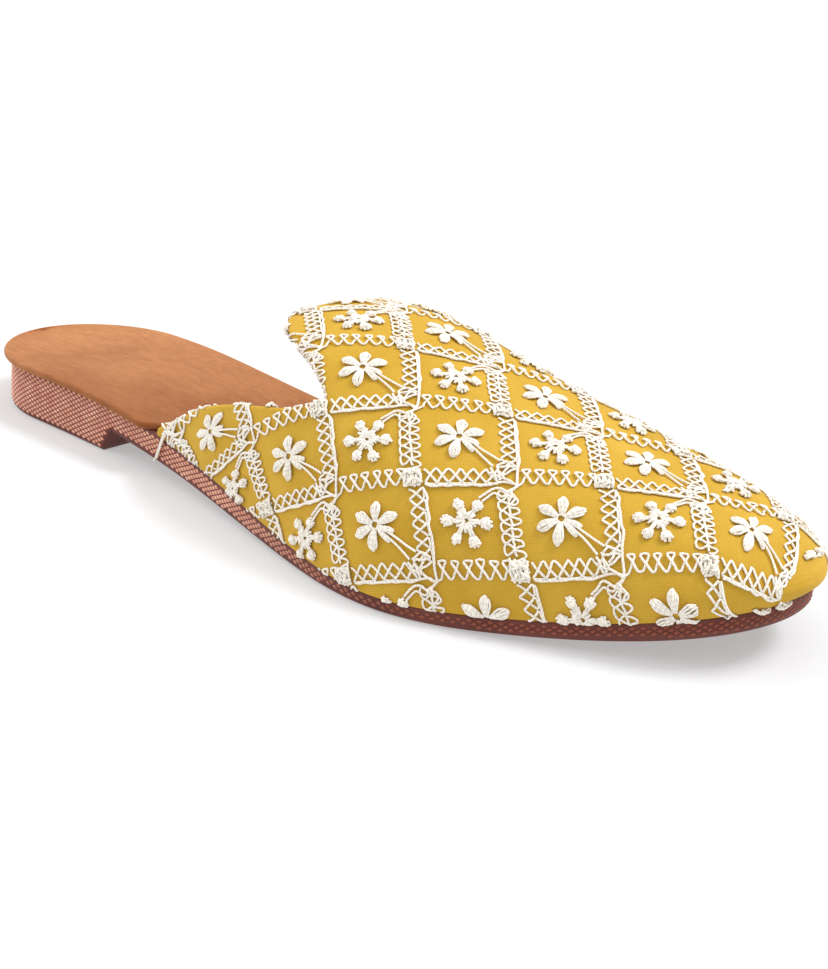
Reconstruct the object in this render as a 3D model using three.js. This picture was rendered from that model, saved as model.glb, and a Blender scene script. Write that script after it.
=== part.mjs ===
// A backless slip-on mule for the right foot: a moulded sole with a low heel in one with it, a padded
// insole that laps over the sole's edge round the open heel, and a hollow cloth upper with two low wings,
// a throat and a rounded tongue. Millimetres. While the pieces are shaped, +X runs from the back of the
// heel to the tip of the toe, +Z is up from the floor, -Y is the outer side and +Y the inner side.
import * as THREE from "three";
import { mergeVertices } from "three/addons/utils/BufferGeometryUtils.js";

const LENGTH = 256; // sole, heel to toe
const BALL_BREADTH = 88; // sole, where it is broadest
const TONGUE_HEIGHT = 54; // floor to the top of the upper
const GAP = 0.3; // air between pieces that are glued or lasted together
const OUTER = -1; // side of the foot, as the sign of Y
const INNER = 1;

// Sole
const HEEL_ROUND = { reach: 28, power: 2.0 }; // how far each end's rounding reaches, and how full it is
const TOE_ROUND = { reach: 65, power: 2.2 };
const HEEL_BREAST = 60; // where the heel's underside ends
const BREAST_SLOPE = 4; // length over which its front face climbs to the waist
const ARCH_HEIGHT = 7;
const ARCH_END = 160; // the forefoot lies flat on the floor from here
const SPRING_START = 185; // to here, and then the toe springs up
const TOE_SPRING = 10.5;
const SOLE_EDGE_RADIUS = 1.2;

// Insole
const INSOLE_THICKNESS = 2.0;
const INSOLE_LAP = 2.5; // how far it stands out past the sole round the open heel
const INSOLE_CLEAR = 0.5; // air between its edge and the upper's wall
const INSOLE_STEP = { length: 6, outerEnd: 84.5, innerEnd: 97.5 }; // where it changes from one to the other
const INSOLE_EDGE_RADIUS = 1.0;
const INSOLE_DISH = 0.6; // how much lower its middle is than its edge

// Upper
const WALL = 2.0;
const FAN_START = 180; // from here forward the ribs fan round the toe
const TOE_POLE = 243; // the point on the ridge where they meet
const BULGE_TOP = 65; // degrees up a rib at which its bulge has died away

// Breadth of the sole, as a share of the ball's, and how far its middle line swings to the inner side in
// millimetres, at a share of its length
const OUTLINE = [
  { at: 0.0, breadth: 0.61, swing: 0 },
  { at: 0.15, breadth: 0.62, swing: -0.5 },
  { at: 0.25, breadth: 0.61, swing: -2.5 },
  { at: 0.35, breadth: 0.64, swing: -4 },
  { at: 0.5, breadth: 0.81, swing: -5.5 },
  { at: 0.6, breadth: 0.94, swing: -6.5 },
  { at: 0.7, breadth: 1.0, swing: -6 },
  { at: 0.8, breadth: 0.93, swing: 0 },
  { at: 0.9, breadth: 0.83, swing: 3 },
  { at: 1.0, breadth: 0.81, swing: 5 },
];

// Height of the sole's top edge above the floor, at each tenth of its length
const TOP_EDGE = [
  { at: 0.0, height: 14.5 },
  { at: 0.1, height: 14.5 },
  { at: 0.2, height: 14.5 },
  { at: 0.3, height: 13 },
  { at: 0.4, height: 10 },
  { at: 0.5, height: 7 },
  { at: 0.6, height: 4.5 },
  { at: 0.7, height: 3.5 },
  { at: 0.8, height: 5 },
  { at: 0.9, height: 9 },
  { at: 1.0, height: 15.5 },
];

// Height of the upper's ridge above the floor, as a share of the tongue's
const RIDGE = [
  { x: 100, height: 0.85 },
  { x: 120, height: 0.97 },
  { x: 140, height: 1.0 },
  { x: 160, height: 0.93 },
  { x: 180, height: 0.83 },
  { x: 200, height: 0.73 },
  { x: 220, height: 0.64 },
  { x: 240, height: 0.56 },
  { x: 256, height: 0.5 },
];

// The upper's ribs: where the ridge lies across the foot, the powers that square off the rib's plan and
// its rise (smaller is boxier), and how far its side swells
const RIBS = [
  { x: 95, ridge: 0, plan: 0.65, rise: 0.45, bulge: 1 },
  { x: 135, ridge: 2, plan: 0.8, rise: 0.7, bulge: -0.5 },
  { x: 175, ridge: 4.5, plan: 0.85, rise: 1.0, bulge: -1 },
  { x: 215, ridge: 7.5, plan: 0.65, rise: 1.1, bulge: -0.5 },
  { x: 256, ridge: 9, plan: 0.4, rise: 1.0, bulge: 3 },
];

// The topline: where the upper begins on each side at each angle up its ribs, from the wing's tip at the
// sole, over the throat at 42 degrees, to the middle of the tongue at 90. The inner wing is the shorter.
const TOPLINE = [
  { angle: 0, outer: 85, inner: 98 },
  { angle: 2, outer: 93, inner: 104 },
  { angle: 5, outer: 98, inner: 109 },
  { angle: 10, outer: 105, inner: 116 },
  { angle: 16, outer: 115, inner: 124 },
  { angle: 22, outer: 126, inner: 132 },
  { angle: 29, outer: 137, inner: 140 },
  { angle: 36, outer: 144, inner: 145 },
  { angle: 42, outer: 147, inner: 147 },
  { angle: 48, outer: 141, inner: 141 },
  { angle: 55, outer: 129, inner: 129 },
  { angle: 63, outer: 121, inner: 121 },
  { angle: 73, outer: 116, inner: 116 },
  { angle: 90, outer: 114, inner: 114 },
];

// Rows of the upper's mesh, as angles up the ribs: closer together where the topline runs flat
const ROW_ANGLES = [
  0, 1, 2, 3.5, 5, 7.5, 10, 13, 16, 19, 22, 25.5, 29, 32.5, 36, 39, 42, 45, 48, 51.5, 55, 59, 63, 68, 73, 81,
  90,
];
const UPPER_COLUMNS = 24;
const SOLE_STATIONS = 36;

const DEGREE = Math.PI / 180;
const clamp01 = (t) => Math.min(1, Math.max(0, t));

// A natural cubic spline through one column of a table, whose numbers may be shares of a unit.
function splineOf(rows, key, column, { keyUnit = 1, unit = 1 } = {}) {
  const xs = rows.map((row) => row[key] * keyUnit);
  const ys = rows.map((row) => row[column] * unit);
  const last = xs.length - 1;
  const curvature = new Array(xs.length).fill(0);
  const ratio = new Array(xs.length).fill(0);
  for (let i = 1; i < last; i++) {
    const before = xs[i] - xs[i - 1];
    const after = xs[i + 1] - xs[i];
    const bend = (ys[i + 1] - ys[i]) / after - (ys[i] - ys[i - 1]) / before;
    const pivot = 2 * (before + after) - before * ratio[i - 1];
    ratio[i] = after / pivot;
    curvature[i] = (6 * bend - before * curvature[i - 1]) / pivot;
  }
  for (let i = last - 1; i > 0; i--) {
    curvature[i] -= ratio[i] * curvature[i + 1];
  }
  return (x) => {
    let i = 0;
    while (i < last - 1 && x > xs[i + 1]) i++;
    const step = xs[i + 1] - xs[i];
    const b = (x - xs[i]) / step;
    const a = 1 - b;
    const bow = ((a ** 3 - a) * curvature[i] + (b ** 3 - b) * curvature[i + 1]) * (step ** 2 / 6);
    return a * ys[i] + b * ys[i + 1] + bow;
  };
}

const halfBreadth = splineOf(OUTLINE, "at", "breadth", { keyUnit: LENGTH, unit: BALL_BREADTH / 2 });
const swing = splineOf(OUTLINE, "at", "swing", { keyUnit: LENGTH });
const topEdge = splineOf(TOP_EDGE, "at", "height", { keyUnit: LENGTH });
const ridgeHeight = splineOf(RIDGE, "x", "height", { unit: TONGUE_HEIGHT });
const ridgeLine = splineOf(RIBS, "x", "ridge");
const planPower = splineOf(RIBS, "x", "plan");
const risePower = splineOf(RIBS, "x", "rise");
const bulge = splineOf(RIBS, "x", "bulge");
const outerTopline = splineOf(TOPLINE, "angle", "outer");
const innerTopline = splineOf(TOPLINE, "angle", "inner");

// How much of the breadth is left inside the rounding of an end, at a share of the way into it.
const endRounding = (share, power) => (1 - clamp01(share) ** power) ** (1 / power);

// The sole's edge in plan on one side, at x.
function edgeY(x, side) {
  const heel = endRounding((HEEL_ROUND.reach - x) / HEEL_ROUND.reach, HEEL_ROUND.power);
  const toe = endRounding((x - LENGTH + TOE_ROUND.reach) / TOE_ROUND.reach, TOE_ROUND.power);
  return swing(x) + side * halfBreadth(x) * heel * toe;
}

// The sole's whole edge as one loop: 0 at the heel, along the outer side to pi at the toe, and back.
function edgePoint(turn) {
  const x = (LENGTH * (1 - Math.cos(turn))) / 2;
  return new THREE.Vector2(x, edgeY(x, Math.sin(turn) >= 0 ? OUTER : INNER));
}

// The same point moved outwards, square to the edge.
function offsetEdge(turn, out) {
  const small = 0.01;
  const along = edgePoint(turn + small).sub(edgePoint(turn - small)).normalize();
  return edgePoint(turn).add(new THREE.Vector2(along.y, -along.x).multiplyScalar(out));
}

// Stations along the sole, close together at its ends, with extra ones where its form changes.
function stations(extra) {
  const turns = Array.from({ length: SOLE_STATIONS + 1 }, (_, i) => (Math.PI * i) / SOLE_STATIONS);
  const wanted = extra.map((x) => Math.acos(1 - (2 * x) / LENGTH));
  const tooClose = Math.PI / SOLE_STATIONS / 4;
  const kept = turns.filter((turn) => wanted.every((w) => Math.abs(w - turn) > tooClose));
  return [...kept, ...wanted].sort((a, b) => a - b);
}

// A triangle mesh from corners, with shared corners merged and collapsed triangles left out.
function meshGeometry(triangles) {
  const flat = new Float32Array(triangles.flat().flatMap((p) => [p.x, p.y, p.z]));
  const soup = new THREE.BufferGeometry();
  soup.setAttribute("position", new THREE.BufferAttribute(flat, 3));
  const merged = mergeVertices(soup, 1e-3);
  const index = merged.index.array;
  const kept = [];
  for (let i = 0; i < index.length; i += 3) {
    const [a, b, c] = index.slice(i, i + 3);
    if (a !== b && b !== c && c !== a) kept.push(a, b, c);
  }
  merged.setIndex(kept);
  return merged;
}

// The triangles between neighbouring rows of points. Closed rows join their last point to their first.
function strips(rows, closed) {
  const triangles = [];
  for (let i = 0; i + 1 < rows.length; i++) {
    const width = rows[i].length;
    for (let j = 0; j < (closed ? width : width - 1); j++) {
      const k = (j + 1) % width;
      const [a, b, c, d] = [rows[i][j], rows[i][k], rows[i + 1][k], rows[i + 1][j]];
      triangles.push([a, c, b], [a, d, c]);
    }
  }
  return triangles;
}

// A flat piece with the sole's plan. edgeProfile(x, side) lists how far out and how high its edge runs,
// from the underside to the top, and dish is how much its top sinks in the middle.
function slab(extraStations, edgeProfile, dish) {
  const across = [0.12, 0.3, 0.5, 0.7, 0.88];
  const rings = stations(extraStations).map((turn) => {
    const edge = (t, side) =>
      edgeProfile(edgePoint(turn).x, side).map(({ out, z }) => {
        const p = offsetEdge(t, out);
        return new THREE.Vector3(p.x, p.y, z);
      });
    const outer = edge(turn, OUTER);
    const inner = edge(2 * Math.PI - turn, INNER);
    const top = outer.length - 1;
    const topLine = across.map((share) => {
      const p = outer[top].clone().lerp(inner[top], share);
      p.z -= dish * (4 * share * (1 - share));
      return p;
    });
    const underLine = across.map((share) => outer[0].clone().lerp(inner[0], share)).reverse();
    return [...outer, ...topLine, ...inner.reverse(), ...underLine];
  });
  return meshGeometry(strips(rings, true));
}

// Height of the sole's underside: the heel, its breast, the arch, the flat forefoot and the toe spring.
function underside(x) {
  const waist = HEEL_BREAST + BREAST_SLOPE;
  const arch = (at) => ARCH_HEIGHT * clamp01((ARCH_END - at) / (ARCH_END - HEEL_BREAST)) ** 1.5;
  if (x < waist) return arch(waist) * clamp01((x - HEEL_BREAST) / BREAST_SLOPE);
  return arch(x) + TOE_SPRING * clamp01((x - SPRING_START) / (LENGTH - SPRING_START)) ** 2;
}

function outsole() {
  const bend = SOLE_EDGE_RADIUS * (1 - Math.SQRT1_2);
  return slab(
    [HEEL_BREAST, HEEL_BREAST + BREAST_SLOPE, ARCH_END, SPRING_START],
    (x) => [
      { out: -SOLE_EDGE_RADIUS, z: underside(x) },
      { out: -bend, z: underside(x) + bend },
      { out: 0, z: underside(x) + SOLE_EDGE_RADIUS },
      { out: 0, z: topEdge(x) },
    ],
    0,
  );
}

// Where the rib that starts on the sole's edge at x meets the ridge, in plan. In front of FAN_START the
// ribs turn towards TOE_POLE.
function ribHead(x) {
  const fan = clamp01((x - FAN_START) / (LENGTH - FAN_START));
  const head = x - (LENGTH - TOE_POLE) * fan ** 2;
  return new THREE.Vector2(head, ridgeLine(head));
}

// How far out along its run a rib is at an angle up it, as a share: a power of the cosine, and a bulge.
function ribReach(x, angle, run) {
  const t = clamp01(angle / BULGE_TOP);
  const swell = bulge(x) * 6.75 * t * (1 - t) ** 2;
  return Math.max(0, Math.cos(angle * DEGREE)) ** planPower(x) + swell / run;
}

// A point of the upper's outer face: x is where its rib starts on the sole's edge, angle how far up the
// rib it lies. The rib rises from the sole to the ridge as a power of the sine.
function upperPoint(x, angle, side) {
  const foot = topEdge(x) + GAP;
  const head = ribHead(x);
  const run = new THREE.Vector2(x, edgeY(x, side)).sub(head);
  const { x: px, y: py } = head.addScaledVector(run, ribReach(x, angle, run.length()));
  const pz = foot + (ridgeHeight(px) - foot) * Math.sin(angle * DEGREE) ** risePower(x);
  return new THREE.Vector3(px, py, pz);
}

// How far the upper's wall has come in from the sole's edge at a height above it.
function wallLean(x, height) {
  const share = height / (ridgeHeight(x) - topEdge(x));
  const angle = Math.asin(share ** (1 / risePower(x))) / DEGREE;
  const run = new THREE.Vector2(x, edgeY(x, INNER)).sub(ribHead(x)).length();
  return Math.max(0, run * (1 - ribReach(x, angle, run)));
}

function insole() {
  const stepEnd = (side) => (side === OUTER ? INSOLE_STEP.outerEnd : INSOLE_STEP.innerEnd);
  const edge = (x, side) => {
    const t = clamp01((x - stepEnd(side)) / INSOLE_STEP.length + 1);
    const inside = -(WALL + INSOLE_CLEAR + (t > 0 ? wallLean(x, GAP + INSOLE_THICKNESS) : 0));
    return THREE.MathUtils.lerp(INSOLE_LAP, inside, t * t * (3 - 2 * t));
  };
  const bend = INSOLE_EDGE_RADIUS * (1 - Math.SQRT1_2);
  const stepStations = [OUTER, INNER].flatMap((side) =>
    [1, 0.65, 0.35, 0].map((share) => stepEnd(side) - share * INSOLE_STEP.length),
  );
  return slab(
    [...stepStations, ARCH_END],
    (x, side) => {
      const out = edge(x, side);
      const low = topEdge(x) + GAP;
      const high = low + INSOLE_THICKNESS;
      return [
        { out: out - bend, z: low },
        { out, z: low + bend },
        { out, z: high - INSOLE_EDGE_RADIUS },
        { out: out - bend, z: high - bend },
        { out: out - INSOLE_EDGE_RADIUS, z: high },
      ];
    },
    INSOLE_DISH,
  );
}

// A closed wall from an open sheet: a second face, WALL further in, and rims round every open edge.
// The rim that stands on the sole stays level.
function thickened(sheet) {
  sheet.computeVertexNormals();
  const position = sheet.attributes.position;
  const normal = sheet.attributes.normal;
  const outer = [];
  const inner = [];
  for (let i = 0; i < position.count; i++) {
    const p = new THREE.Vector3().fromBufferAttribute(position, i);
    const n = new THREE.Vector3().fromBufferAttribute(normal, i);
    const q = p.clone().addScaledVector(n, -WALL);
    q.z = Math.max(q.z, topEdge(q.x) + GAP);
    outer.push(p);
    inner.push(q);
  }
  const index = sheet.index.array;
  const edges = new Map();
  const triangles = [];
  for (let i = 0; i < index.length; i += 3) {
    const [a, b, c] = index.slice(i, i + 3);
    triangles.push([outer[a], outer[b], outer[c]], [inner[a], inner[c], inner[b]]);
    for (const [from, to] of [[a, b], [b, c], [c, a]]) {
      if (!edges.delete(to + "/" + from)) edges.set(from + "/" + to, [from, to]);
    }
  }
  for (const [from, to] of edges.values()) {
    triangles.push([outer[to], outer[from], inner[from]], [outer[to], inner[from], inner[to]]);
  }
  return meshGeometry(triangles);
}

function upper() {
  const rows = [];
  for (const side of [INNER, OUTER]) {
    const angles = side === INNER ? ROW_ANGLES : [...ROW_ANGLES].reverse().slice(1);
    const topline = side === INNER ? innerTopline : outerTopline;
    for (const angle of angles) {
      const start = topline(angle);
      const row = [];
      for (let i = 0; i <= UPPER_COLUMNS; i++) {
        const share = Math.sin((Math.PI / 2) * (i / UPPER_COLUMNS));
        row.push(upperPoint(start + (LENGTH - start) * share, angle, side));
      }
      rows.push(row);
    }
  }
  return thickened(meshGeometry(strips(rows, false)));
}

const moulded = new THREE.MeshStandardMaterial({ color: 0x8a5246, roughness: 0.6, metalness: 0 });
const suede = new THREE.MeshStandardMaterial({ color: 0xc88450, roughness: 0.95, metalness: 0 });
const cloth = new THREE.MeshStandardMaterial({ color: 0xdcaa36, roughness: 0.85, metalness: 0 });

const shoe = new THREE.Group();
for (const [name, geometry, material] of [
  ["outsole", outsole(), moulded],
  ["insole", insole(), suede],
  ["upper", upper(), cloth],
]) {
  const mesh = new THREE.Mesh(geometry, material);
  mesh.name = name;
  shoe.add(mesh);
}

// The origin is on the floor, under the middle of the whole shoe.
const box = new THREE.Box3().setFromObject(shoe);
const middle = box.getCenter(new THREE.Vector3());
shoe.position.set(-middle.x, -middle.y, -box.min.z);

export default shoe;
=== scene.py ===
# %% [markdown]
# # An embroidered mule
# A mule is a shoe with no back: a moulded sole, a padded insole, and a cloth upper over the front of the
# foot. This one is the right shoe, in mustard cotton worked all over with cream thread: a slanting lattice
# of lace-like bands, with a daisy or a sprig in each square. The lesson builds it in a maker's order: the
# shape of the last first, then sole, insole, cloth and thread.

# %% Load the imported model
import math

import bmesh
import bpy
import numpy as np
from mathutils import Matrix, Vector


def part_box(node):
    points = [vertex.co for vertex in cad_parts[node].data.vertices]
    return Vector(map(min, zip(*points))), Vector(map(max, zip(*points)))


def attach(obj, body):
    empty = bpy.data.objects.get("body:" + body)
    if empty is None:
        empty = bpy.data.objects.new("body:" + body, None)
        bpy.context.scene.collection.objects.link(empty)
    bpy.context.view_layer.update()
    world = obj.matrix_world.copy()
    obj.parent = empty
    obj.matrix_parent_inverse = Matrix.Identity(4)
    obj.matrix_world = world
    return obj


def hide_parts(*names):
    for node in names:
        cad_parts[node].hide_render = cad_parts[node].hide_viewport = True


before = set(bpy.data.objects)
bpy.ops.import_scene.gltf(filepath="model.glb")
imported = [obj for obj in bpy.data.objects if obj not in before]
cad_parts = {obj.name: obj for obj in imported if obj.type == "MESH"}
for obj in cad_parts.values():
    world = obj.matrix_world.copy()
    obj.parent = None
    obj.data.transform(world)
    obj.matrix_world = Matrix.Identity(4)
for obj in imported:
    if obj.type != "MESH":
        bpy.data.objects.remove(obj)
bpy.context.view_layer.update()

# %% [markdown]
# ## The last's sizes
# Every shoe is drawn round a last, the wooden or plastic foot that it is pulled over. Here the last is a
# few short tables, in millimetres from the back of the heel, with a smooth curve through each column. A
# sculpted mesh would look as good, but in a table one number moves one real dimension, and sole, insole,
# cloth and thread stay in step because they ask the same functions.

# %% Named sizes and tables
MM = 0.001
LENGTH, BALL_BREADTH, TONGUE_HEIGHT = 256.0, 88.0, 54.0
OUTER, INNER = -1.0, 1.0  # sides of the foot, as the sign of Y
HEEL_ROUND, HEEL_POWER = 28.0, 2.0
TOE_ROUND, TOE_POWER = 65.0, 2.2
HEEL_BREAST, BREAST_SLOPE = 60.0, 4.0
ARCH_HEIGHT, ARCH_END = 7.0, 160.0
SPRING_START, TOE_SPRING = 185.0, 10.5
FAN_START, TOE_POLE, BULGE_TOP = 180.0, 243.0, 65.0
WALL = 2.0

# Breadths are shares of the ball's, ridge heights shares of the tongue's, and the rest is in mm.
OUTLINE = {
    "at": [0.0, 0.15, 0.25, 0.35, 0.5, 0.6, 0.7, 0.8, 0.9, 1.0],
    "breadth": [0.61, 0.62, 0.61, 0.64, 0.81, 0.94, 1.0, 0.93, 0.83, 0.81],
    "swing": [0, -0.5, -2.5, -4, -5.5, -6.5, -6, 0, 3, 5],
}
TOP_EDGE = {
    "at": [0.0, 0.1, 0.2, 0.3, 0.4, 0.5, 0.6, 0.7, 0.8, 0.9, 1.0],
    "height": [14.5, 14.5, 14.5, 13, 10, 7, 4.5, 3.5, 5, 9, 15.5],
}
RIDGE = {
    "x": [100.0, 120, 140, 160, 180, 200, 220, 240, 256],
    "height": [0.85, 0.97, 1.0, 0.93, 0.83, 0.73, 0.64, 0.56, 0.5],
}
RIBS = {
    "x": [95.0, 135, 175, 215, 256],
    "ridge": [0, 2, 4.5, 7.5, 9],
    "plan": [0.65, 0.8, 0.85, 0.65, 0.4],
    "rise": [0.45, 0.7, 1.0, 1.1, 1.0],
    "bulge": [1, -0.5, -1, -0.5, 3],
}
TOPLINE = {
    "angle": [0.0, 0.2, 0.7, 2, 5, 10, 16, 22, 29, 36, 42, 48, 55, 63, 73, 90],
    "outer": [85.0, 88, 91.5, 94.5, 99, 105.5, 115, 126, 137, 144, 147, 141, 129, 121, 116, 114],
    "inner": [98.0, 100, 102, 105, 109, 116, 124, 132, 140, 145, 147, 141, 129, 121, 116, 114],
}


def unit(vectors):
    """Vectors divided by their lengths."""
    return vectors / np.linalg.norm(vectors, axis=-1, keepdims=True)


def run_lengths(points, axis=0):
    """How far along a line of points each one lies, by adding up the straight steps."""
    steps = np.linalg.norm(np.diff(points, axis=axis), axis=-1)
    return np.insert(np.cumsum(steps, axis), 0, 0, axis)


def curve(table, column, key_scale=1.0, scale=1.0):
    """A natural cubic spline through a column, against the table's first: its curvatures solve the usual
    tridiagonal system."""
    xs, ys = np.array(next(iter(table.values()))) * key_scale, np.array(table[column]) * scale
    step, slope = np.diff(xs), np.diff(ys) / np.diff(xs)
    inner = np.arange(1, len(xs) - 1)
    system, bends = np.eye(len(xs)), np.zeros(len(xs))
    system[inner, inner - 1] = step[:-1]
    system[inner, inner] = 2 * (step[:-1] + step[1:])
    system[inner, inner + 1] = step[1:]
    bends[inner] = 6 * np.diff(slope)
    bends = np.linalg.solve(system, bends)

    def at(x):
        x = np.asarray(x, float)
        i = np.clip(np.searchsorted(xs, x) - 1, 0, len(xs) - 2)
        b = (x - xs[i]) / step[i]
        a = 1 - b
        bow = ((a**3 - a) * bends[i] + (b**3 - b) * bends[i + 1]) * step[i] ** 2 / 6
        return a * ys[i] + b * ys[i + 1] + bow

    return at


half_breadth = curve(OUTLINE, "breadth", LENGTH, BALL_BREADTH / 2)
swing = curve(OUTLINE, "swing", LENGTH)
top_edge = curve(TOP_EDGE, "height", LENGTH)
ridge_height = curve(RIDGE, "height", scale=TONGUE_HEIGHT)
ridge_line, plan_power, rise_power, bulge = (curve(RIBS, key) for key in ("ridge", "plan", "rise", "bulge"))
outer_topline, inner_topline = curve(TOPLINE, "outer"), curve(TOPLINE, "inner")


def topline_x(round_angle):
    """Where the upper begins, from the outer wing at 0 degrees, over the tongue at 90, to the inner wing."""
    return np.where(round_angle <= 90, outer_topline(round_angle), inner_topline(180 - round_angle))


def share_left(x, power):
    """Breadth left inside an end's rounding: one minus a power of x, to one over that power."""
    return (1 - np.clip(x, 0, 1) ** power) ** (1 / power)


def edge_y(x, side):
    """The sole's edge in plan: swing plus or minus the half breadth, rounded off at heel and toe."""
    heel = share_left((HEEL_ROUND - x) / HEEL_ROUND, HEEL_POWER)
    toe = share_left((x - LENGTH + TOE_ROUND) / TOE_ROUND, TOE_POWER)
    return swing(x) + side * half_breadth(x) * heel * toe


def loop_x(turn):
    """Half the length times one minus the cosine of the turn, which crowds places at heel and toe."""
    return LENGTH * (1 - np.cos(turn)) / 2


def edge_point(turn):
    """The sole's edge as a loop, on the outer side up to pi and then back on the inner side."""
    x = loop_x(turn)
    return np.stack([x, edge_y(x, np.where(np.sin(turn) >= 0, OUTER, INNER))], -1)


def offset_edge(turn, out):
    """The loop moved outwards, square to itself."""
    small = 0.004
    along = unit(edge_point(turn + small) - edge_point(turn - small))
    normal = np.stack([along[..., 1], -along[..., 0]], -1)
    return edge_point(turn) + normal * np.asarray(out)[..., None]


def underside(x):
    """A flat heel, a sloping breast, an arch falling as a 1.5 power, a flat ball and a squared toe spring."""
    def arch(at):
        return ARCH_HEIGHT * np.clip((ARCH_END - at) / (ARCH_END - HEEL_BREAST), 0, 1) ** 1.5

    waist = HEEL_BREAST + BREAST_SLOPE
    heel = arch(waist) * np.clip((x - HEEL_BREAST) / BREAST_SLOPE, 0, 1)
    spring = TOE_SPRING * np.clip((x - SPRING_START) / (LENGTH - SPRING_START), 0, 1) ** 2
    return np.where(x < waist, heel, arch(x) + spring)


stations = np.linspace(0, LENGTH, 2000)
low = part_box("outsole")[0]
SHIFT = np.array([low.x / MM, low.y / MM - edge_y(stations, OUTER).min(), 0.0])
print("the heel's back edge lies at", np.round(SHIFT, 2), "mm in the packed frame")

# %% [markdown]
# ## The camera
# The shoe is seen from its outer side, a little in front and above, and from near by, which makes the toe
# swell and the heel shrink. The camera could be aimed with a constraint, but a matrix built from its three
# axes is exact and needs nothing live.

# %% Camera
AZIMUTH, ELEVATION, ROLL = 39.0, 20.0, 4.8
DISTANCE = 420.0
PAN, TILT = -2.2, -0.8  # the view is turned a little off the shoe's middle
LENS = 58


def turned(a, b, degrees):
    """Two axes turned towards each other in their own plane."""
    c, s = math.cos(math.radians(degrees)), math.sin(math.radians(degrees))
    return a * c + b * s, b * c - a * s


def place_by_axes(piece, x_axis, y_axis, z_axis, place=(0, 0, 0)):
    """Stands an object by its own three axes and its place in metres, and adds it to the scene."""
    matrix = np.eye(4)
    matrix[:3] = np.stack([x_axis, y_axis, z_axis, place], -1)
    piece.matrix_world = Matrix(matrix.tolist())
    bpy.context.scene.collection.objects.link(piece)


az, el = math.radians(AZIMUTH), math.radians(ELEVATION)
away = np.array([math.sin(az) * math.cos(el), -math.cos(az) * math.cos(el), math.sin(el)])
eye = np.array([LENGTH / 2, 0, 10]) + SHIFT + DISTANCE * away
right = unit(np.cross(-away, [0, 0, 1]))
right, up = turned(right, np.cross(right, -away), ROLL)
ahead, right = turned(-away, right, -PAN)
ahead, up = turned(ahead, up, TILT)

camera_data = bpy.data.cameras.new("camera")
camera_data.lens = LENS
camera_data.sensor_width = 36
camera_data.clip_start = 0.01
camera = bpy.data.objects.new("camera", camera_data)
place_by_axes(camera, right, up, -ahead, eye * MM)
bpy.context.scene.camera = camera
print("camera at", np.round(eye, 1), "mm")

# %% [markdown]
# ## From grids to meshes
# The pieces below are grids of points, worked out as whole arrays, and one helper turns them into meshes
# and welds what meets. A grid keeps its rows and columns, which gives clean quads and a UV map for nothing.

# %% Mesh helpers
WELD_WITHIN, SLIVER = 2e-6, 1e-7  # metres


def grid_faces(grid, wrap=False):
    """Corner numbers of the quads between neighbouring rows and columns of a grid."""
    rows, columns = grid.shape[:2]
    i, j = np.meshgrid(np.arange(rows - 1), np.arange(columns if wrap else columns - 1), indexing="ij")
    k = (j + 1) % columns
    corners = [i * columns + j, (i + 1) * columns + j, (i + 1) * columns + k, i * columns + k]
    return [np.stack(corners, -1).reshape(-1, 4)]


def make_piece(name, points, faces, finishes, uv=None, face_material=None, weld=False, smooth=True):
    """A mesh object from points in mm along the shoe. faces holds arrays of corner numbers, one for each
    number of corners, and uv a pair for each point or each corner."""
    mesh = bpy.data.meshes.new(name)
    co = (np.asarray(points, float).reshape(-1, 3) + SHIFT) * MM
    corner = np.concatenate([f.ravel() for f in faces])
    sizes = np.concatenate([np.full(len(f), f.shape[1]) for f in faces])
    mesh.vertices.add(len(co))
    mesh.vertices.foreach_set("co", co.ravel())
    mesh.loops.add(len(corner))
    mesh.loops.foreach_set("vertex_index", corner.astype(np.int32))
    mesh.polygons.add(len(sizes))
    mesh.polygons.foreach_set("loop_start", (np.cumsum(sizes) - sizes).astype(np.int32))
    mesh.update(calc_edges=True)
    for finish in finishes:
        mesh.materials.append(finish.material)
    if uv is not None:
        uv = np.asarray(uv, np.float32).reshape(-1, 2)
        layer = mesh.uv_layers.new(name="UVMap")
        layer.data.foreach_set("uv", (uv if len(uv) == len(corner) else uv[corner]).ravel())
    if face_material is not None:
        mesh.polygons.foreach_set("material_index", np.asarray(face_material, np.int32))
    mesh.polygons.foreach_set("use_smooth", np.full(len(sizes), smooth))
    if weld:
        work = bmesh.new()
        work.from_mesh(mesh)
        bmesh.ops.remove_doubles(work, verts=work.verts, dist=WELD_WITHIN)
        bmesh.ops.dissolve_degenerate(work, edges=work.edges, dist=SLIVER)
        bmesh.ops.recalc_face_normals(work, faces=work.faces)
        work.to_mesh(mesh)
        work.free()
    mesh.validate()
    piece = bpy.data.objects.new(name, mesh)
    bpy.context.scene.collection.objects.link(piece)
    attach(piece, "root")
    print(f"{name}: {len(mesh.vertices)} points, {len(mesh.loops) - 2 * len(mesh.polygons)} triangles")
    return piece


# %% [markdown]
# ## Finishes
# A finish here is a Principled shader with its colour and its bump driven by patterns. The helper keeps
# each one to a few readable lines. Values that are the same all over sit on the shader's own sockets.

# %% Finish helpers
def srgb(r, g, b):
    """A colour named in the 0-255 numbers of a paint chart, as the linear light a shader works in."""
    c = np.array([r, g, b]) / 255
    return (*np.where(c <= 0.04045, c / 12.92, ((c + 0.055) / 1.055) ** 2.4), 1.0)


def set_bands(ramp, bands):
    """Fills a colour ramp: bands are (position, colour)."""
    while len(ramp.elements) < len(bands):
        ramp.elements.new(0.5)
    for point, (position, colour) in zip(ramp.elements, bands):
        point.position, point.color = position, colour


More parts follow.
